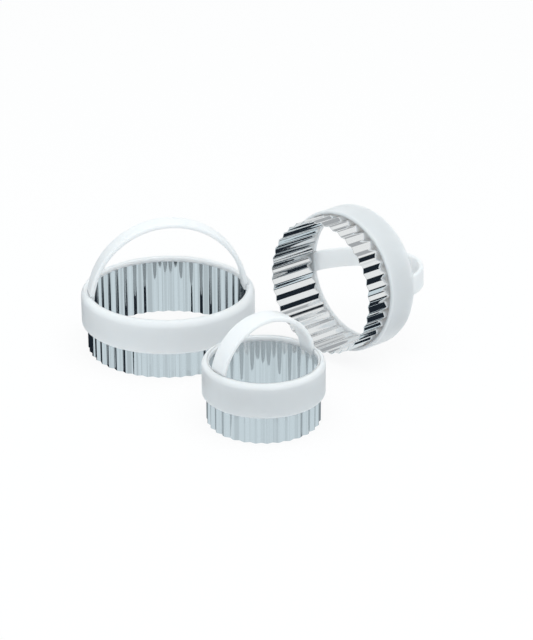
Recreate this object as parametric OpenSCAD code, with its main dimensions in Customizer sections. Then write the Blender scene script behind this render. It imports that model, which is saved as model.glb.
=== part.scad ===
// A set of three fluted biscuit cutters in graded sizes.
// The large and small ones stand on their cutting edges, and the medium one lies on its side.
// Each cutter is a fluted steel band, a moulded collar over the band's top, and an arched strap handle.

/* [Large cutter] */
// Diameter over the flute ridges of the large band
large_d = 75; // [60:0.5:95]
// Number of flutes round the large band
large_flutes = 46; // [36:1:60]
// Turn of the large band's flutes against its handle
large_flute_turn = 2.2; // [-4:0.1:4]
// How far the large collar stands out past the flute ridges
large_overhang = 2.6; // [1.6:0.1:4]
// Turn of the large cutter about its own axis, which is also its handle's direction
large_turn = 12; // [-45:1:45]
// Place of the large cutter's axis along X
large_x = -38.9; // [-60:0.1:-30]
// Place of the large cutter's axis along Y
large_y = 32.2; // [20:0.1:50]

/* [Medium cutter, lying on its side] */
// Diameter over the flute ridges of the medium band
medium_d = 62.5; // [50:0.5:68]
// Number of flutes round the medium band
medium_flutes = 37; // [30:1:50]
// Turn of the medium band's flutes against its handle
medium_flute_turn = -4.5; // [-5:0.1:5]
// How far the medium collar stands out past the flute ridges
medium_overhang = 2; // [1.6:0.1:4]
// Roll of the medium cutter about its own axis, counted from a level handle
medium_roll = -5; // [-20:1:20]
// Direction in which the medium cutter's handle points, from the X axis
medium_heading = 44.4; // [30:0.1:60]
// How far the medium cutter's cutting edge is tipped up from lying level
medium_tip = 2.6; // [0:0.1:6]
// Place of the centre of the medium cutter's cutting edge along X
medium_x = 30.7; // [28:0.1:45]
// Place of the centre of the medium cutter's cutting edge along Y
medium_y = 17.7; // [14:0.1:40]

/* [Small cutter] */
// Diameter over the flute ridges of the small band
small_d = 50; // [40:0.5:56]
// Number of flutes round the small band
small_flutes = 31; // [24:1:40]
// Turn of the small band's flutes against its handle
small_flute_turn = -5.3; // [-6:0.1:6]
// How far the small collar stands out past the flute ridges
small_overhang = 1.9; // [1.6:0.1:4]
// Turn of the small cutter about its own axis, which is also its handle's direction
small_turn = 35; // [-45:1:45]
// Place of the small cutter's axis along X
small_x = 5.3; // [0:0.1:12]
// Place of the small cutter's axis along Y
small_y = -45.3; // [-60:0.1:-42]

/* [Fluted band] */
// Height of the steel band from the cutting edge to its top edge
band_h = 26; // [20:0.5:34]
// Thickness of the steel sheet, measured along the radius
sheet = 0.35; // [0.25:0.05:0.6]
// Depth of a flute from ridge to valley
flute_depth = 0.9; // [0.5:0.05:1.4]
// Width of the flat on each ridge and in each valley
flute_flat = 0.85; // [0.4:0.05:1.2]

/* [Collar] */
// Height of the collar's lower edge above the cutting edge
collar_z = 12.7; // [9:0.1:16]
// Thickness of the lip that lies on the band's top edge
lip_t = 2.5; // [1.5:0.1:4]
// How far the lip reaches in past the inside of the flute valleys
lip_cover = 0.1; // [0.05:0.05:0.6]
// Clearance between the flute ridges and the inside of the collar's skirt
skirt_gap = 0.4; // [0.2:0.05:0.8]
// Rounding of the collar's outer top edge
top_round = 3; // [0.8:0.1:3]
// Rounding of the lip's inner top edge
rim_round = 0.8; // [0.3:0.1:1]
// Rounding of the collar's outer lower edge
skirt_round = 1; // [0.4:0.1:1.1]

/* [Strap handle] */
// Width of the handle strap
strap_w = 9.4; // [6:0.1:14]
// Thickness of the handle strap
strap_t = 2.2; // [1.4:0.1:3.5]
// Rounding of the strap's long edges
strap_round = 0.8; // [0.3:0.1:1]
// How far the strap's outer face lies inside the flute ridges
strap_inset = 0.4; // [0.1:0.1:1]
// How far the centre of the handle's arch lies below the band's top edge
arch_drop = 1.6; // [0.5:0.1:4]

/* [Hidden] */
$fn = 96;

steel = "silver";
plastic = "white";

// Top of every collar above its cutting edge
cutter_h = band_h + lip_t;
// Height of the centre of every handle's arch
arch_z = band_h - arch_drop;
// Least flat left on top of a collar between its two roundings
top_flat = 0.05;
// Extra reach of a cutting shape past the face that it cuts
over = 1;

// Radius of a collar's outer wall
function collar_r(d, overhang) = d / 2 + overhang;
// Inner radius of a collar's lip
function lip_r(d) = d / 2 - flute_depth - sheet - lip_cover;
// Rounding of a collar's outer top edge, limited by the width of its top
function top_r(d, overhang) =
    min(top_round, collar_r(d, overhang) - lip_r(d) - rim_round - top_flat);
// Point on a circle
function polar(r, a) = [r * cos(a), r * sin(a)];
// Corners of one side of the fluted sheet, ridge and valley in turn
function flute_outline(ridge_r, valley_r, count) =
    let (half_flat = flute_flat / ridge_r * 90 / PI, half_pitch = 180 / count)
    [for (i = [0 : count - 1], side = [0, 1], end = [-1, 1])
        polar(side == 0 ? ridge_r : valley_r, (2 * i + side) * half_pitch + end * half_flat)];

// Fluted ring of steel sheet
module band(d, flutes) {
    linear_extrude(height = band_h)
    difference() {
        polygon(flute_outline(d / 2, d / 2 - flute_depth, flutes));
        polygon(flute_outline(d / 2 - sheet, d / 2 - flute_depth - sheet, flutes));
    }
}

// What is cut away to round the upper right corner of a section that ends at [x, y]
module round_off(x, y, r) {
    translate([x - r, y - r])
    difference() {
        square(r + over);
        circle(r);
    }
}

// Half section of a collar, with the radius along X and the height along Y
module collar_section(d, overhang) {
    outer = collar_r(d, overhang);
    inner = lip_r(d);
    skirt_r = d / 2 + skirt_gap;
    difference() {
        translate([inner, collar_z]) square([outer - inner, cutter_h - collar_z]);
        translate([inner - over, collar_z - over]) square([skirt_r - inner + over, band_h - collar_z + over]);
        round_off(outer, cutter_h, top_r(d, overhang));
        mirror([1, 0]) round_off(-inner, cutter_h, rim_round);
        mirror([0, 1]) round_off(outer, -collar_z, skirt_round);
    }
}

// Moulded ring that hooks over the band's top edge, with a slot for each handle foot
module collar(d, overhang) {
    difference() {
        rotate_extrude() collar_section(d, overhang);
        handle(d);
    }
}

// Cross-section of the strap, with its thickness along X and its width along Y
module strap_section() {
    translate([-strap_t, -strap_w / 2 + strap_round]) square([strap_t, strap_w - 2 * strap_round]);
    translate([-strap_t + strap_round, -strap_w / 2]) square([strap_t - 2 * strap_round, strap_w]);
    for (x = [-strap_t + strap_round, -strap_round], y = [-1, 1])
        translate([x, y * (strap_w / 2 - strap_round)]) circle(strap_round);
}

// Half-round strap whose feet stand on the band's top edge
module handle(d) {
    outer = d / 2 - strap_inset;
    difference() {
        translate([0, 0, arch_z])
        rotate([90, 0, 0])
        rotate_extrude(angle = 180)
        translate([outer, 0]) strap_section();
        translate([-outer - over, -strap_w, arch_z - over])
            cube([2 * (outer + over), 2 * strap_w, band_h - arch_z + over]);
    }
}

// Where each cutter stands or lies
module place_large() {
    translate([large_x, large_y, 0]) rotate([0, 0, large_turn]) children();
}

module place_small() {
    translate([small_x, small_y, 0]) rotate([0, 0, small_turn]) children();
}

// The lying cutter touches the floor with the rounding at its collar's top
module place_medium() {
    corner = top_r(medium_d, medium_overhang);
    axis_z = (cutter_h - corner) * sin(medium_tip)
        + (collar_r(medium_d, medium_overhang) - corner) * cos(medium_tip) + corner;
    translate([medium_x, medium_y, axis_z])
    rotate([0, 0, medium_heading])
    rotate([0, 90 + medium_tip, 0])
    rotate([0, 0, 90 + medium_roll]) children();
}

module large_band() {
    color(steel) place_large() rotate([0, 0, large_flute_turn]) band(large_d, large_flutes);
}

module large_collar() {
    color(plastic) place_large() collar(large_d, large_overhang);
}

module large_handle() {
    color(plastic) place_large() handle(large_d);
}

module medium_band() {
    color(steel) place_medium() rotate([0, 0, medium_flute_turn]) band(medium_d, medium_flutes);
}

module medium_collar() {
    color(plastic) place_medium() collar(medium_d, medium_overhang);
}

module medium_handle() {
    color(plastic) place_medium() handle(medium_d);
}

module small_band() {
    color(steel) place_small() rotate([0, 0, small_flute_turn]) band(small_d, small_flutes);
}

module small_collar() {
    color(plastic) place_small() collar(small_d, small_overhang);
}

module small_handle() {
    color(plastic) place_small() handle(small_d);
}

large_band();
large_collar();
large_handle();
medium_band();
medium_collar();
medium_handle();
small_band();
small_collar();
small_handle();
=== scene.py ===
# %% [markdown]
# # A set of three fluted biscuit cutters
# Three cutters in graded sizes: two stand on their cutting edges and one lies on its side.
# Each is a ring of fluted steel sheet, a white moulded collar over its top edge, and a half-round
# strap handle. The lesson builds the three kinds of piece once and makes each in three sizes.
#
# The model from the CAD program is loaded first. It says where everything is, so a piece that is
# made here from the same sizes lands in the right place, with nothing moved by eye.

# %% The measured frame
import math

import bmesh
import bpy
from mathutils import Matrix, Vector


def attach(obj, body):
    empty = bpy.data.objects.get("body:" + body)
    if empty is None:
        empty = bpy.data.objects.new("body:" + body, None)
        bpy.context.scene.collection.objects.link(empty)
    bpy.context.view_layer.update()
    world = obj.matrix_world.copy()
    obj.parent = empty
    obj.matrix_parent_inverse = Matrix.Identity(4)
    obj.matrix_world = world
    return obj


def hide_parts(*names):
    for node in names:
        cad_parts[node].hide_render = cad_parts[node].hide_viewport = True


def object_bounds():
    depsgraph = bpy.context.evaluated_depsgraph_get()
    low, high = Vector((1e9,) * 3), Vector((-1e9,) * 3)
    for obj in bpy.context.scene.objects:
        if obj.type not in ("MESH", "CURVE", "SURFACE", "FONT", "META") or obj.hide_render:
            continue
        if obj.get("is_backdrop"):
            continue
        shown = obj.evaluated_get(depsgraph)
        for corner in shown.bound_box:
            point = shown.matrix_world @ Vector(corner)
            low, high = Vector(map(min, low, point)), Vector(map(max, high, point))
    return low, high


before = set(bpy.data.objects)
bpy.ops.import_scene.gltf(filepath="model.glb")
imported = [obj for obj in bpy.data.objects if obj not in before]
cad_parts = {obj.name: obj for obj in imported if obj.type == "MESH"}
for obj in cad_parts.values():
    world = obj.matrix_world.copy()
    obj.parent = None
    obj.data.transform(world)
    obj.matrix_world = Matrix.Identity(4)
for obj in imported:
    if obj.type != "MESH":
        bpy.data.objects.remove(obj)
cad_box = [list(corner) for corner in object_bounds()]

# %% [markdown]
# ## Sizes
# All lengths are in metres. They repeat the values of the CAD source, where every length is in
# millimetres. The height, the sheet and the lip are the same for every cutter.

# %% Sizes that the cutters share
MM = 0.001
BAND_H = 26 * MM
SHEET = 0.35 * MM
FLUTE_DEPTH = 0.9 * MM
LIP_T = 2.5 * MM
LIP_COVER = 0.1 * MM
RIM_ROUND = 0.8 * MM
TOP_FLAT = 0.05 * MM
CUTTER_H = BAND_H + LIP_T
print("a cutter is", round(CUTTER_H / MM, 2), "mm high without its handle")

# %% [markdown]
# One table holds what differs: the diameter over the flute ridges, the number of flutes, their
# turn in degrees against the handle, and how far the collar stands out. The flutes were counted
# by following them round each ring in the photograph. The lying ring shows nearly all of them.
# From these values follow the collar's outer radius, the radius of its lip's opening, and the
# rounding of its shoulder, which is as large as the width of its top allows.

# %% Sizes of the three cutters
SETS = {
    "large": {"d": 75 * MM, "flutes": 46, "turned": 2.2, "overhang": 2.6 * MM},
    "medium": {"d": 62.5 * MM, "flutes": 37, "turned": -4.5, "overhang": 2.0 * MM},
    "small": {"d": 50 * MM, "flutes": 31, "turned": -5.3, "overhang": 1.9 * MM},
}
for size, row in SETS.items():
    row["outer"] = row["d"] / 2 + row["overhang"]
    row["lip"] = row["d"] / 2 - FLUTE_DEPTH - SHEET - LIP_COVER
    row["shoulder"] = min(3 * MM, row["outer"] - row["lip"] - RIM_ROUND - TOP_FLAT)
    print(size, "pitch", round(math.pi * row["d"] / row["flutes"] / MM, 2), "mm")

# %% [markdown]
# ## Places
# Every piece is drawn upright round the Z axis, with the cutting edge at zero height. A matrix
# then takes it to its place. The two standing cutters only turn and slide. The lying one rolls,
# tips over, turns, and is lifted so that the rounding at its collar's top touches the floor.
# A matrix is better here than moving the object, because a finished piece keeps its place
# in its mesh and its object stays at the origin.

# %% The place of each cutter
def turn(degrees, axis):
    return Matrix.Rotation(math.radians(degrees), 4, axis)


def shift(x, y, z):
    return Matrix.Translation((x * MM, y * MM, z))


TIP, HEADING, ROLL = 2.6, 44.4, -5
corner = SETS["medium"]["shoulder"]
lying_z = ((CUTTER_H - corner) * math.sin(math.radians(TIP))
           + (SETS["medium"]["outer"] - corner) * math.cos(math.radians(TIP)) + corner)
PLACES = {
    "large": shift(-38.9, 32.2, 0) @ turn(12, "Z"),
    "medium": shift(30.7, 17.7, lying_z)
    @ turn(HEADING, "Z") @ turn(90 + TIP, "Y") @ turn(90 + ROLL, "Z"),
    "small": shift(5.3, -45.3, 0) @ turn(35, "Z"),
}
print("the lying cutter's axis is", round(lying_z / MM, 2), "mm above the floor")

# %% [markdown]
# ## Helpers for node trees
# Materials and Geometry Nodes are both trees of nodes. One short helper adds a node, sets its
# settings, and fills its inputs with numbers or with links. It keeps each tree readable as
# a list of steps. The second does one step of arithmetic.

# %% Helpers for node trees
def add(tree, kind, values=(), **settings):
    node = tree.nodes.new(kind)
    for key, value in settings.items():
        setattr(node, key, value)
    for key, value in values.items() if isinstance(values, dict) else enumerate(values):
        if isinstance(value, bpy.types.NodeSocket):
            tree.links.new(value, node.inputs[key])
        elif value is not None:
            node.inputs[key].default_value = value
    return node


def calc(tree, operation, *values):
    return add(tree, "ShaderNodeMath", values, operation=operation).outputs[0]


# %% [markdown]
# Both finishes of this set are even to the eye and vary a little when looked at closely. So the
# next helpers start a material in object coordinates, stretch the middle of a noise over a range,
# blend two tones, and turn a noise into a shallow bump.

# %% Helpers for finishes
def new_finish(name):
    mat = bpy.data.materials.new(name)
    mat.use_nodes = True
    tree = mat.node_tree
    return mat, tree, tree.nodes["Principled BSDF"].inputs, add(tree, "ShaderNodeTexCoord").outputs["Object"]


def noise(tree, where, scale, detail):
    return add(tree, "ShaderNodeTexNoise", {"Vector": where, "Scale": scale, "Detail": detail}).outputs["Fac"]


def stretch(tree, value, low, high):
    return add(tree, "ShaderNodeMapRange", {"Value": value, "From Min": 0.3, "From Max": 0.7,
                                            "To Min": low, "To Max": high}).outputs[0]


def two_tones(tree, value, dark, light):
    node = add(tree, "ShaderNodeValToRGB", {"Fac": value})
    node.color_ramp.elements[0].color = dark
    node.color_ramp.elements[1].color = light
    return node.outputs["Color"]


def bumpy(tree, value, strength, depth):
    return add(tree, "ShaderNodeBump", {"Strength": strength, "Distance": depth,
                                        "Height": value}).outputs["Normal"]


# %% [markdown]
# ## Bright steel
# The bands are thin rolled sheet, almost a mirror. What makes it read as steel and not as chrome
# is small: faint rolling marks, a slight waviness that bends the reflections, and a haze that
# varies from place to place. The waviness is a bump from a large soft noise, the haze is
# a middling noise in the roughness, and the marks are a fine noise in the tone.

# %% Steel
STEEL, tree, shader, where = new_finish("bright_steel")
tree.links.new(stretch(tree, noise(tree, where, 420, 3.0), 0.035, 0.10), shader["Roughness"])
grain = stretch(tree, noise(tree, where, 2600, 2.0), 0.0, 1.0)
tone = two_tones(tree, grain, (0.84, 0.845, 0.85, 1), (0.88, 0.885, 0.89, 1))
tree.links.new(tone, shader["Base Color"])
tree.links.new(bumpy(tree, noise(tree, where, 110, 1.0), 0.2, 0.06 * MM), shader["Normal"])
shader["Metallic"].default_value = 1.0
print("material", STEEL.name, len(tree.nodes), "nodes")

# %% [markdown]
# ## White moulded plastic
# Collars and handles are moulded in one white plastic with a soft gloss. Light enters it and
# leaves some millimetres away, so its shaded sides stay pale. A very fine bump gives the skin
# of a mould. A slow variation in tone and roughness keeps a long highlight from looking drawn
# with a ruler.

# %% Plastic
PLASTIC, tree, shader, where = new_finish("moulded_plastic")
slow = noise(tree, where, 90, 2.0)
tone = two_tones(tree, slow, (0.89, 0.895, 0.90, 1), (0.92, 0.925, 0.93, 1))
tree.links.new(tone, shader["Base Color"])
tree.links.new(stretch(tree, slow, 0.30, 0.40), shader["Roughness"])
tree.links.new(bumpy(tree, noise(tree, where, 1500, 2.0), 0.12, 0.02 * MM), shader["Normal"])
shader["IOR"].default_value = 1.49
shader["Subsurface Weight"].default_value = 1.0
shader["Subsurface Radius"].default_value = (1.0, 0.94, 0.9)
shader["Subsurface Scale"].default_value = 6 * MM
print("material", PLASTIC.name, len(tree.nodes), "nodes")

# %% [markdown]
# ## From a node tree to a plain mesh
# Geometry Nodes describe a shape by rule. The tree's inputs have names, and its end is the same
# for every rule: smooth the faces, keep folds of more than 20 degrees sharp, make everything
# real, and give it its material.

# %% The start and the end of a rule
SHARP_FOLD = 20


def new_tree(name, inputs):
    tree = bpy.data.node_groups.new(name, "GeometryNodeTree")
    tree.interface.new_socket("Geometry", in_out="OUTPUT", socket_type="NodeSocketGeometry")
    for title, kind in inputs:
        tree.interface.new_socket(title, in_out="INPUT", socket_type="NodeSocket" + kind)
    return tree, tree.nodes.new("NodeGroupInput").outputs


def close_tree(tree, mesh, material):
    angle = tree.nodes.new("GeometryNodeInputMeshEdgeAngle").outputs["Unsigned Angle"]
    sharp = calc(tree, "GREATER_THAN", angle, math.radians(SHARP_FOLD))
    smooth = add(tree, "GeometryNodeSetShadeSmooth", {"Geometry": mesh, "Shade Smooth": True})
    folds = add(tree, "GeometryNodeSetShadeSmooth", {"Geometry": smooth.outputs[0],
                "Selection": sharp, "Shade Smooth": False}, domain="EDGE")
    real = add(tree, "GeometryNodeRealizeInstances", {"Geometry": folds.outputs[0]})
    done = add(tree, "GeometryNodeSetMaterial", {"Geometry": real.outputs[0], "Material": material})
    tree.links.new(done.outputs[0], tree.nodes.new("NodeGroupOutput").inputs[0])


# %% [markdown]
# A modifier gives the tree's inputs their values by each socket's identifier. The evaluated
# result is copied to a plain mesh and taken to its place, and the modifier goes away with the
# object that carried it.

# %% From a rule to a piece
def link(obj):
    bpy.context.scene.collection.objects.link(obj)
    return obj


def piece_of(mesh, name, place, material):
    mesh.name = name
    mesh.transform(place)
    mesh.materials.clear()
    mesh.materials.append(material)
    print(name, len(mesh.polygons), "faces")
    return link(bpy.data.objects.new(name, mesh))


def by_rule(tree, values, name, place, material):
    carrier = link(bpy.data.objects.new("carrier", bpy.data.meshes.new("carrier")))
    modifier = carrier.modifiers.new("rule", "NODES")
    modifier.node_group = tree
    sockets = {s.name: s.identifier for s in tree.interface.items_tree if s.in_out == "INPUT"}
    for title, value in values.items():
        modifier[sockets[title]] = value
    bpy.context.view_layer.update()
    solved = carrier.evaluated_get(bpy.context.evaluated_depsgraph_get())
    mesh = bpy.data.meshes.new_from_object(solved)
    carrier.modifiers.remove(modifier)
    bpy.data.objects.remove(carrier)
    return piece_of(mesh, name, place, material)


# %% [markdown]
# Each finished piece takes the place of one CAD node and moves with its cutter. Nothing moves
# within a cutter, so its three pieces share one body.

# %% A piece stands for a CAD node
def stand_for(piece, size, node):
    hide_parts(node)
    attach(piece, size + "_cutter")


# %% [markdown]
# ## The fluted band
# A strip of sheet is pressed into even flutes, bent round and joined. Drawing one flute and
# repeating it would leave a seam at every copy. It is simpler to take a fine circle and move each
# point in or out by a wave of its angle. The wave is the arcsine of a cosine: straight flanks
# that turn in a small radius at each crest, as pressed sheet does. A sharpness just under one
# leaves that radius.

# %% The wave of a fluted band
band_tree, given = new_tree("fluted_band", [
    ("Ridge radius", "Float"), ("Flute depth", "Float"), ("Flutes", "Int"), ("Sheet", "Float"),
    ("Band height", "Float"), ("Sharpness", "Float"), ("Edge radius", "Float"),
    ("Steel", "Material")])
POINTS_PER_FLUTE = 24
count = calc(band_tree, "MULTIPLY", given["Flutes"], POINTS_PER_FLUTE)
ring = add(band_tree, "GeometryNodeCurvePrimitiveCircle", {"Resolution": count, "Radius": 1.0})
way_round = band_tree.nodes.new("GeometryNodeSplineParameter").outputs["Factor"]
flutes_passed = calc(band_tree, "MULTIPLY", way_round, given["Flutes"])
phase = calc(band_tree, "MULTIPLY", flutes_passed, math.tau)
swing = calc(band_tree, "MULTIPLY", calc(band_tree, "COSINE", phase), given["Sharpness"])
wave = calc(band_tree, "DIVIDE", calc(band_tree, "ARCSINE", swing),
            calc(band_tree, "ARCSINE", given["Sharpness"]))
print(POINTS_PER_FLUTE, "points per flute")

# %% [markdown]
# The wave runs from one on a ridge to minus one in a valley. It is scaled to the depth of
# a flute and taken from the radius of the sheet's middle at a ridge.

# %% The path of a fluted band
half_depth = calc(band_tree, "DIVIDE", given["Flute depth"], 2.0)
inward = calc(band_tree, "MULTIPLY", calc(band_tree, "SUBTRACT", 1.0, wave), half_depth)
half_sheet = calc(band_tree, "DIVIDE", given["Sheet"], 2.0)
middle = calc(band_tree, "SUBTRACT", given["Ridge radius"], half_sheet)
radius = calc(band_tree, "SUBTRACT", middle, inward)
spot = band_tree.nodes.new("GeometryNodeInputPosition").outputs[0]
spread = add(band_tree, "ShaderNodeVectorMath", {0: spot, "Scale": radius}, operation="SCALE")
path = add(band_tree, "GeometryNodeSetPosition", {"Geometry": ring.outputs[0],
           "Position": spread.outputs[0]})
print("the path takes", len(band_tree.nodes), "nodes")

# %% [markdown]
# The sheet's tall thin section is swept along the path. Its corners get one small cut each, which
# catches the light. They get no finer rounding: smoothed faces in small steps tilt the shading
# of the tall wall next to them, and then every reflection in the flanks bends.

# %% The section of a fluted band
section = add(band_tree, "GeometryNodeCurvePrimitiveQuadrilateral",
              {"Width": given["Sheet"], "Height": given["Band height"]})
eased = add(band_tree, "GeometryNodeFilletCurve", {"Curve": section.outputs[0], "Count": 1,
            "Radius": given["Edge radius"], "Limit Radius": True}, mode="POLY")
swept = add(band_tree, "GeometryNodeCurveToMesh", {"Curve": path.outputs[0],
            "Profile Curve": eased.outputs[0], "Fill Caps": False})
half_height = calc(band_tree, "DIVIDE", given["Band height"], 2.0)
lift = add(band_tree, "ShaderNodeCombineXYZ", {"Z": half_height})
stood = add(band_tree, "GeometryNodeTransform", {"Geometry": swept.outputs[0],
            "Translation": lift.outputs[0]})
close_tree(band_tree, stood.outputs[0], given["Steel"])
print("the whole rule takes", len(band_tree.nodes), "nodes")

# %% The three bands
for size, row in SETS.items():
    band = by_rule(band_tree, {
        "Ridge radius": row["d"] / 2, "Flute depth": FLUTE_DEPTH, "Flutes": row["flutes"],
        "Sheet": SHEET, "Band height": BAND_H, "Sharpness": 0.92, "Edge radius": 0.12 * MM,
        "Steel": STEEL}, size + "_fluted_band", PLACES[size] @ turn(row["turned"], "Z"), STEEL)
    stand_for(band, size, size + "_band")

# %% [markdown]
# ## The collar
# The collar is a ring with the same section all the way round: a lip over the band's top
# edge and a skirt down its outside. A section turned round an axis is a lathe job. The section is
# written as corners with their own radii, so the soft outer shoulder, the small inner rim and
# the hem get the roundings that the photograph shows. Beside each rounding lies one more point,
# which keeps the flat walls flat when the faces are smoothed.

# %% A closed outline with rounded corners
def rounded(corners, steps=8, beside=0.12 * MM):
    """A closed outline in 2D from (x, y, radius) corners, each rounded by an arc."""
    outline = []
    for i, (x, y, r) in enumerate(corners):
        here = Vector((x, y))
        back = (Vector(corners[i - 1][:2]) - here).normalized()
        on = (Vector(corners[(i + 1) % len(corners)][:2]) - here).normalized()
        half = back.angle(on) / 2
        reach, bend = r / math.tan(half), math.pi - 2 * half
        centre = here + (back + on).normalized() * (r / math.sin(half))
        start, end = here + back * reach - centre, here + on * reach - centre
        outline.append(centre + start + back * beside)
        for k in range(steps + 1):
            early, late = math.sin((1 - k / steps) * bend), math.sin(k / steps * bend)
            outline.append(centre + (start * early + end * late) / math.sin(bend))
        outline.append(centre + end + on * beside)
    return outline


print("a square corner becomes", len(rounded([(0, 0, 1), (9, 0, 1), (9, 9, 1), (0, 9, 1)])) // 4, "points")

# %% [markdown]
# The lathe joins each ring of points to the next with one belt of faces, and the last belt closes
# on the first, so no seam is left. Smooth faces need sound normals, so these are recalculated
# to face outward.

# %% A turned ring
def turned(outline, name, place, material, segments=144):
    """Turns an outline, radius along x and height along y, once round Z."""
    bm = bmesh.new()
    rings = []
    for i in range(segments):
        a = math.tau * i / segments
        rings.append([bm.verts.new((p.x * math.cos(a), p.x * math.sin(a), p.y)) for p in outline])
    for i in range(segments):
        one, two = rings[i], rings[(i + 1) % segments]
        for j in range(len(outline)):
            k = (j + 1) % len(outline)
            bm.faces.new((one[j], two[j], two[k], one[k]))
    bmesh.ops.recalc_face_normals(bm, faces=bm.faces)
    for face in bm.faces:
        face.smooth = True
    mesh = bpy.data.meshes.new(name)
    bm.to_mesh(mesh)
    bm.free()
    return piece_of(mesh, name, place, material)


# %% The three collars
COLLAR_Z = 12.7 * MM
SKIRT_GAP = 0.4 * MM
HEM_ROUND, HEM_FLAT = 1.0 * MM, 0.35 * MM
for size, row in SETS.items():
    outer, lip, skirt = row["outer"], row["lip"], row["d"] / 2 + SKIRT_GAP
    hem = min(HEM_ROUND, outer - skirt - HEM_FLAT)
    collar = turned(rounded([
        (lip, BAND_H, 0.15 * MM), (skirt, BAND_H, 0.1 * MM), (skirt, COLLAR_Z, 0.2 * MM),
        (outer, COLLAR_Z, hem), (outer, CUTTER_H, row["shoulder"]), (lip, CUTTER_H, RIM_ROUND),
    ]), size + "_moulded_collar", PLACES[size], PLASTIC)
    stand_for(collar, size, size + "_collar")

# %% [markdown]
# ## The strap handle
# The handle is a flat strap bent in a half circle over the ring. Its shape follows a path, so it
# is a sweep: an arc for the path and a rounded rectangle for the section. The feet end level
# with the band's top edge, inside the collar's lip.

# %% Rule for a strap handle
strap_tree, given = new_tree("strap_handle", [
    ("Arch radius", "Float"), ("Foot angle", "Float"), ("Strap width", "Float"),
    ("Strap thickness", "Float"), ("Edge radius", "Float"), ("Arch height", "Float"),
    ("Plastic", "Material")])
both_feet = calc(strap_tree, "MULTIPLY", given["Foot angle"], 2.0)
sweep = calc(strap_tree, "SUBTRACT", math.pi, both_feet)
arc = add(strap_tree, "GeometryNodeCurveArc", {"Resolution": 121, "Radius": given["Arch radius"],
          "Start Angle": given["Foot angle"], "Sweep Angle": sweep}, mode="RADIUS")
section = add(strap_tree, "GeometryNodeCurvePrimitiveQuadrilateral",
              {"Width": given["Strap thickness"], "Height": given["Strap width"]})
eased = add(strap_tree, "GeometryNodeFilletCurve", {"Curve": section.outputs[0], "Count": 6,
            "Radius": given["Edge radius"], "Limit Radius": True}, mode="POLY")
swept = add(strap_tree, "GeometryNodeCurveToMesh", {"Curve": arc.outputs[0],
            "Profile Curve": eased.outputs[0], "Fill Caps": True})
lift = add(strap_tree, "ShaderNodeCombineXYZ", {"Z": given["Arch height"]})
stood = add(strap_tree, "GeometryNodeTransform", {"Geometry": swept.outputs[0],
            "Translation": lift.outputs[0], "Rotation": (math.pi / 2, 0, 0)})
close_tree(strap_tree, stood.outputs[0], given["Plastic"])
print("the rule takes", len(strap_tree.nodes), "nodes")

# %% [markdown]
# The strap's outer face lies a little inside the flute ridges, so that its feet fit into the lip.
# The arch's centre lies a little below the band's top edge, and each foot starts at the angle
# at which the arc meets that edge.

# %% The three handles
STRAP_W, STRAP_T, STRAP_ROUND = 9.4 * MM, 2.2 * MM, 0.8 * MM
STRAP_INSET = 0.4 * MM
ARCH_DROP = 1.6 * MM
for size, row in SETS.items():
    arch_r = row["d"] / 2 - STRAP_INSET - STRAP_T / 2
    handle = by_rule(strap_tree, {
        "Arch radius": arch_r, "Foot angle": math.asin(ARCH_DROP / arch_r),
        "Strap width": STRAP_W, "Strap thickness": STRAP_T, "Edge radius": STRAP_ROUND,
        "Arch height": BAND_H - ARCH_DROP, "Plastic": PLASTIC},
        size + "_strap_handle", PLACES[size], PLASTIC)
    stand_for(handle, size, size + "_handle")

# %% [markdown]
# ## Camera
# The camera stands where the photograph was taken from, found by fitting the outlines of the
# three rings: about 24 degrees above the floor, with a long lens a little over a metre away.

# %% Camera
def look(at, distance, azimuth, elevation):
    a, e = math.radians(azimuth), math.radians(elevation)
    way = Vector((math.sin(a) * math.cos(e), -math.cos(a) * math.cos(e), math.sin(e)))
    return Vector(at) + distance * way


camera = link(bpy.data.objects.new("camera", bpy.data.cameras.new("camera")))
target = Vector((0.00653, 0.0322, 0.01185))
camera.location = look(target, 1.111, 0, 24.29)
camera.rotation_euler = (target - camera.location).to_track_quat("-Z", "Y").to_euler()
camera.data.lens = 134.66
camera.data.sensor_width = 36
camera.data.clip_start = 0.01
bpy.context.scene.camera = camera
print("camera at", [round(v, 4) for v in camera.location])

# %% [markdown]
# ## The table
# The cutters stand on a plain white table. The camera is shown mostly a white glow, and the rest
# of the floor is matte white paint, which takes the soft shadow. For all other light the glow is
# less than half as strong. It goes back up into the shaded plastic and keeps it pale.
#
# Polished steel is a special case: it shows whatever is round it and nothing of its own. Rays that
# come off the steel pass through the table and meet the cards and the world below it, so one
# picture of the studio serves the steel everywhere.

# %% The table's material
def light_path(tree, *names):
    node = tree.nodes.new("ShaderNodeLightPath")
    total = None
    for name in names:
        total = node.outputs[name] if total is None else calc(tree, "MAXIMUM", total, node.outputs[name])
    return total


GLOW, EXTRA_GLOW_FOR_CAMERA = 0.42, 0.46
floor_mat = bpy.data.materials.new("studio_floor")
floor_mat.use_nodes = True
tree = floor_mat.node_tree
tree.nodes.clear()
matte = add(tree, "ShaderNodeBsdfDiffuse", {"Color": (0.9, 0.905, 0.91, 1)})
white = add(tree, "ShaderNodeEmission", {"Color": (1, 1, 1, 1), "Strength": 1.0})
share = calc(tree, "MULTIPLY_ADD", light_path(tree, "Is Camera Ray"), EXTRA_GLOW_FOR_CAMERA, GLOW)
seen = add(tree, "ShaderNodeMixShader", {0: share, 1: matte.outputs[0], 2: white.outputs[0]})
clear = add(tree, "ShaderNodeBsdfTransparent")
both = add(tree, "ShaderNodeMixShader", {0: light_path(tree, "Is Glossy Ray", "Is Transmission Ray"),
           1: seen.outputs[0], 2: clear.outputs[0]})
tree.links.new(both.outputs[0], tree.nodes.new("ShaderNodeOutputMaterial").inputs[0])
print("material", floor_mat.name, len(tree.nodes), "nodes")

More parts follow.
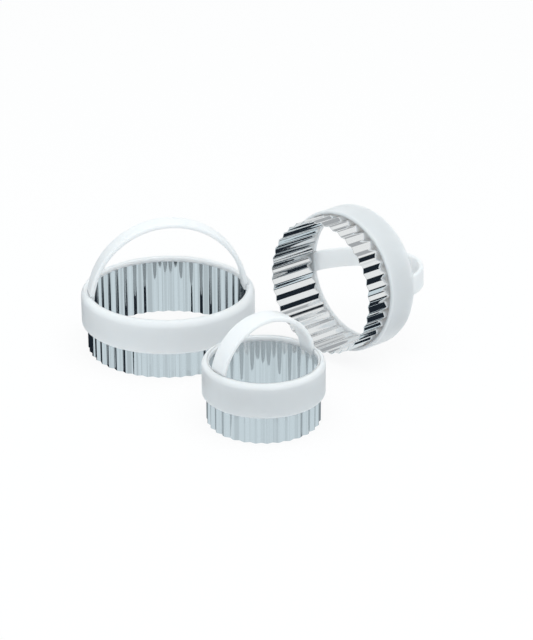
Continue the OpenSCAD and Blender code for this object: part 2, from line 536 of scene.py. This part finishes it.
# %% Table
REACH = 4
floor_mesh = bpy.data.meshes.new("floor")
floor_mesh.from_pydata([(-REACH, -REACH, 0), (REACH, -REACH, 0), (REACH, REACH, 0), (-REACH, REACH, 0)],
                       [], [(0, 1, 2, 3)])
floor_mesh.materials.append(floor_mat)
floor = link(bpy.data.objects.new("floor", floor_mesh))
floor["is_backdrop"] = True
print("floor", [round(v, 2) for v in floor.dimensions])

# %% [markdown]
# ## Whom the studio is shown to
# Bars of black and pale on polished steel are a picture of the studio round it. That picture is
# painted here for mirrored rays only. A mirrored ray that also lights something matte is left out,
# or else the black would fall on the white plastic as dirt. Such a ray has a diffuse depth of one
# or more. Sheet that mirrors itself needs telling apart too: that is a glossy depth of two.

# %% Mirrored rays
def on_steel(tree):
    """One for a ray that left the camera by mirrors alone, and zero or less for any other."""
    depth = tree.nodes.new("ShaderNodeLightPath").outputs["Diffuse Depth"]
    mirrored = light_path(tree, "Is Glossy Ray", "Is Transmission Ray")
    return calc(tree, "SUBTRACT", mirrored, calc(tree, "GREATER_THAN", depth, 0.5))


def second_bounce(tree):
    depth = tree.nodes.new("ShaderNodeLightPath").outputs["Glossy Depth"]
    return calc(tree, "GREATER_THAN", depth, 1.5)


# %% [markdown]
# ## The way a ray goes
# The far studio depends on two angles: the bearing, counted from the front to the right, and the
# height above the horizon. A colour ramp over an angle is then all that is needed to paint
# a card, a gap or a slow change of light. Its stops are pairs of an angle and a level.

# %% Bearing, height, and a ramp over angles
def by_angle(tree, degrees, stops):
    """A black to white ramp whose stops are (angle, level), for angles between -180 and 180."""
    place = calc(tree, "MULTIPLY_ADD", degrees, 1 / 360, 0.5)
    node = add(tree, "ShaderNodeValToRGB", {"Fac": place})
    line = node.color_ramp.elements
    for spare in list(line)[1:]:
        line.remove(spare)
    line[0].position, line[0].color = stops[0][0] / 360 + 0.5, (stops[0][1],) * 3 + (1,)
    for angle, level in stops[1:]:
        line.new(angle / 360 + 0.5).color = (level, level, level, 1)
    return node.outputs["Color"]


def blend(tree, share, one, two):
    return add(tree, "ShaderNodeMix", {"Factor": share, 6: one, 7: two}, data_type="RGBA").outputs[2]


world = bpy.context.scene.world or bpy.data.worlds.new("studio")
bpy.context.scene.world = world
world.use_nodes = True
tree = world.node_tree
tree.nodes.clear()
way = add(tree, "ShaderNodeSeparateXYZ", {0: add(tree, "ShaderNodeTexCoord").outputs["Generated"]})
forward = calc(tree, "MULTIPLY", way.outputs["Y"], -1.0)
bearing = calc(tree, "DEGREES", calc(tree, "ARCTAN2", way.outputs["X"], forward))
height = calc(tree, "DEGREES", calc(tree, "ARCSINE", way.outputs["Z"]))
print("world", world.name)

# %% [markdown]
# ## The far studio
# Below the horizon it is pale blue-grey, which is what most of the standing bands show. This
# fades out towards the back. Above it is white, with one grey patch high behind on the right,
# whose reflection gives the soft grey lines low inside the lying cutter.

# %% Pale below, white above
PALE = (0.63, 0.73, 0.775, 1)
WHITE, GREY = (0.88, 0.90, 0.90, 1), (0.25, 0.27, 0.29, 1)
in_front = by_angle(tree, bearing, [(-150, 0.15), (-110, 1), (110, 1), (150, 0.15)])
below = calc(tree, "MULTIPLY", by_angle(tree, height, [(-8, 1), (-4, 0)]), in_front)
behind = by_angle(tree, bearing, [(132, 0), (142, 0.75), (172, 0.75), (177, 0)])
patch = calc(tree, "MULTIPLY", behind, by_angle(tree, height, [(12, 0), (20, 1), (48, 1), (52, 0)]))
pale = blend(tree, below, blend(tree, patch, WHITE, GREY), PALE)
print("the grey patch covers bearings 132 to 177")

# %% [markdown]
# Two long black flags stand at the height of the horizon, to the left and to the right. They
# draw the hard bars on the lying cutter, whose flanks look level to the sides.

# %% Black at the horizon
BLACK = (0.012, 0.018, 0.026, 1)
sideways = by_angle(tree, bearing, [(-162, 0), (-150, 1), (-84, 1), (-80, 0),
                                    (72, 0), (75, 1), (150, 1), (162, 0)])
level = by_angle(tree, height, [(-14, 0), (-10, 1), (10, 1), (13, 0)])
seen_in_steel = blend(tree, calc(tree, "MULTIPLY", sideways, level), pale, BLACK)
print("the flags reach 13 degrees above the horizon and 14 below it")

# %% [markdown]
# The gaps between softboxes show as faint upright lines on the front of each band, so the pale
# light dips a little at some bearings. Where the sheet mirrors the sheet, the real one scatters
# part of the light at every meeting, which greys the upper half of the inner walls. That loss is
# given to the second bounce, in front and to the sides.

# %% Gaps, and the loss at a second bounce
gaps = by_angle(tree, bearing, [
    (-60, 1), (-48, 0.84), (-38, 1.03), (-30, 1.03), (-20, 0.76), (-2, 0.76), (6, 1.03), (16, 1.03),
    (25, 0.76), (34, 1.03), (44, 1.03), (54, 0.86), (66, 1)])
lossy = by_angle(tree, bearing, [(-124, 0.03), (-108, 0.42), (108, 0.42), (124, 0.03)])
loss = calc(tree, "MULTIPLY", second_bounce(tree), lossy)
gleam_level = calc(tree, "MULTIPLY", gaps, calc(tree, "SUBTRACT", 1.0, loss))
gleam = add(tree, "ShaderNodeBackground", {"Color": seen_in_steel, "Strength": gleam_level})
print("world", len(tree.nodes), "nodes so far")

# %% [markdown]
# ## What lights the plastic
# Everything else is lit by a soft room. It is cool at the horizon and neutral overhead, and
# brightest a third of the way up, so that upright walls get almost as much light as tops do.
# The camera itself sees white paper behind the table.

# %% The room
overhead = by_angle(tree, height, [(0, 0.66), (35, 0.90), (60, 0.86), (90, 0.76)])
tint = blend(tree, by_angle(tree, height, [(0, 0), (50, 1)]), (0.77, 0.91, 1.0, 1), (0.905, 0.945, 0.945, 1))
room = add(tree, "ShaderNodeBackground", {"Color": tint, "Strength": overhead})
paper = add(tree, "ShaderNodeBackground", {"Color": (1, 1, 1, 1), "Strength": 1.0})
pick = add(tree, "ShaderNodeMixShader", {0: on_steel(tree), 1: room.outputs[0], 2: gleam.outputs[0]})
last = add(tree, "ShaderNodeMixShader", {0: light_path(tree, "Is Camera Ray"), 1: pick.outputs[0],
           2: paper.outputs[0]})
tree.links.new(last.outputs[0], tree.nodes.new("ShaderNodeOutputWorld").inputs[0])
print("world", len(tree.nodes), "nodes")

# %% [markdown]
# One wide softbox hangs above the set and a little in front of it. It gives the tops their
# brighter white, the fronts a little more light than the backs, and the cutters their soft
# shadows. Mirrored in the steel it would show as a hard white patch that the photograph lacks, so
# the steel doesn't see it. Its power is set so that no white face burns out.

# %% Softbox
data = bpy.data.lights.new("softbox_above", "AREA")
data.shape = "RECTANGLE"
data.size, data.size_y = 1.2, 1.0
data.energy = 5.6
softbox = link(bpy.data.objects.new("softbox_above", data))
softbox.location = (0.08, -0.26, 1.1)
softbox.rotation_euler = (-softbox.location).to_track_quat("-Z", "Y").to_euler()
softbox.visible_glossy = False
bpy.context.scene.view_settings.view_transform = "Standard"
print(softbox.name, data.energy, "W")

# %% [markdown]
# ## Cards round the set
# Photographers put black cards beside polished metal, and the dark bars on the steel are their
# reflections. Flanks that face sideways show them, and the rest stays pale. The flank of
# a standing cutter looks down through the table at about 24 degrees, so cards that lie flat a hand's
# width below it are met by these rays alone. Their outlines come from drawing where each
# flank's ray lands and whether that flank is dark in the photograph.

# %% A card
CARD_DEPTH = -90


def card(name, outline, z, colour, cover):
    mat = bpy.data.materials.new(name)
    mat.use_nodes = True
    tree = mat.node_tree
    tree.nodes.clear()
    glow = add(tree, "ShaderNodeEmission", {"Color": colour, "Strength": 1.0})
    gap = tree.nodes.new("ShaderNodeBsdfTransparent")
    both = add(tree, "ShaderNodeMixShader", {0: calc(tree, "MULTIPLY", on_steel(tree), cover),
               1: gap.outputs[0], 2: glow.outputs[0]})
    tree.links.new(both.outputs[0], tree.nodes.new("ShaderNodeOutputMaterial").inputs[0])
    mesh = bpy.data.meshes.new(name)
    corners = [(x * MM, y * MM, z * MM) for x, y in outline]
    mesh.from_pydata(corners, [], [tuple(range(len(outline)))])
    mesh.materials.append(mat)
    obj = link(bpy.data.objects.new(name, mesh))
    obj.visible_camera = obj.visible_diffuse = obj.visible_shadow = False
    obj.visible_transmission = obj.visible_volume_scatter = False
    obj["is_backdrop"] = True
    print(name, [round(v, 2) for v in obj.dimensions])


# %% Three black cards
card("left_card", [(-150, 24), (-100, 130), (-95, 200), (-40, 232), (-40, 330), (-300, 700),
                   (-1500, 1200), (-1500, -10)], CARD_DEPTH, BLACK, 1.0)
card("right_near_card", [(136, 52), (134, 24), (212, 22), (208, 60), (190, 106), (148, 168), (95, 228),
                         (70, 204), (114, 150), (134, 98)], CARD_DEPTH, BLACK, 1.0)
card("right_far_card", [(285, 24), (296, -52), (437, -95), (1500, -400), (1500, 1200), (300, 700),
                        (285, 300)], CARD_DEPTH, BLACK, 1.0)

# %% [markdown]
# The small cutter stands nearest the camera and shows hardly any black. A disc of thin pale paper
# lies just under it and veils what lies below by a third.

# %% A pale veil
VEIL_AT, VEIL_HALF, VEIL_POINTS = (5.3, -45.3), (60, 44), 48
angles = [a * math.tau / VEIL_POINTS for a in range(VEIL_POINTS)]
card("pale_veil", [(VEIL_AT[0] + VEIL_HALF[0] * math.cos(a), VEIL_AT[1] + VEIL_HALF[1] * math.sin(a))
                   for a in angles], -0.5, PALE, 0.35)

# %% [markdown]
# The finished pieces must fill the same box as the CAD model. Both boxes are written side by side.

# %% Sizes, and the end
seen_box = [list(corner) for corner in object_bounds()]
for name, box in (("cad", cad_box), ("visual", seen_box)):
    print(name, [[round(v, 5) for v in corner] for corner in box])
